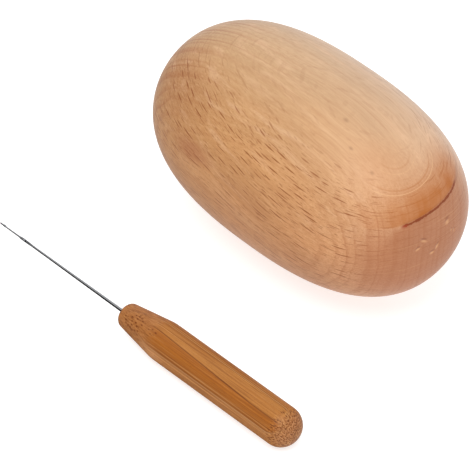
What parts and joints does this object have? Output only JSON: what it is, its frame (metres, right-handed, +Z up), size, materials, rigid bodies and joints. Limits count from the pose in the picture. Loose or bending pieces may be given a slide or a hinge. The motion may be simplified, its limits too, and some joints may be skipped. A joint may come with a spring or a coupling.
{
  "type": "darning egg",
  "caption": "Turned beech darning egg for stretching a worn heel or sleeve over, with a fine steel latch hook in a glued bamboo handle lying beside it.",
  "frame": {"origin": "on the table, under the centre of the set's bounding box", "axes": "+Z up; the hook lies along X with its tip at -X and the rear of its handle at +X; the egg lies beside it towards +Y"},
  "size_m": [0.1389, 0.11, 0.065],
  "materials": {
    "beech": "satin sanded beech",
    "bamboo_front": "satin carbonised bamboo",
    "bamboo_middle": "satin carbonised bamboo",
    "bamboo_back": "satin carbonised bamboo",
    "needle_steel": "polished drawn steel wire",
    "latch_steel": "polished steel"
  },
  "bodies": {
    "egg": {"egg": "beech"},
    "hook": {"handle_front_ply": "bamboo_front", "handle_middle_ply": "bamboo_middle", "handle_back_ply": "bamboo_back", "needle": "needle_steel", "needle_hook": "needle_steel", "rivet": "latch_steel"},
    "latch": {"latch": "latch_steel"}
  },
  "joints": [
    {"name": "hook_draw", "type": "slide", "parent": "egg", "child": "hook", "axis": [0, -1, 0], "range_m": [0, 0.1]},
    {"name": "latch_hinge", "type": "hinge", "parent": "hook", "child": "latch", "pos_m": [-0.05795, -0.04871, 0.00648], "axis": [0, 0.8141, 0.5807], "range_deg": [0, 168]}
  ]
}
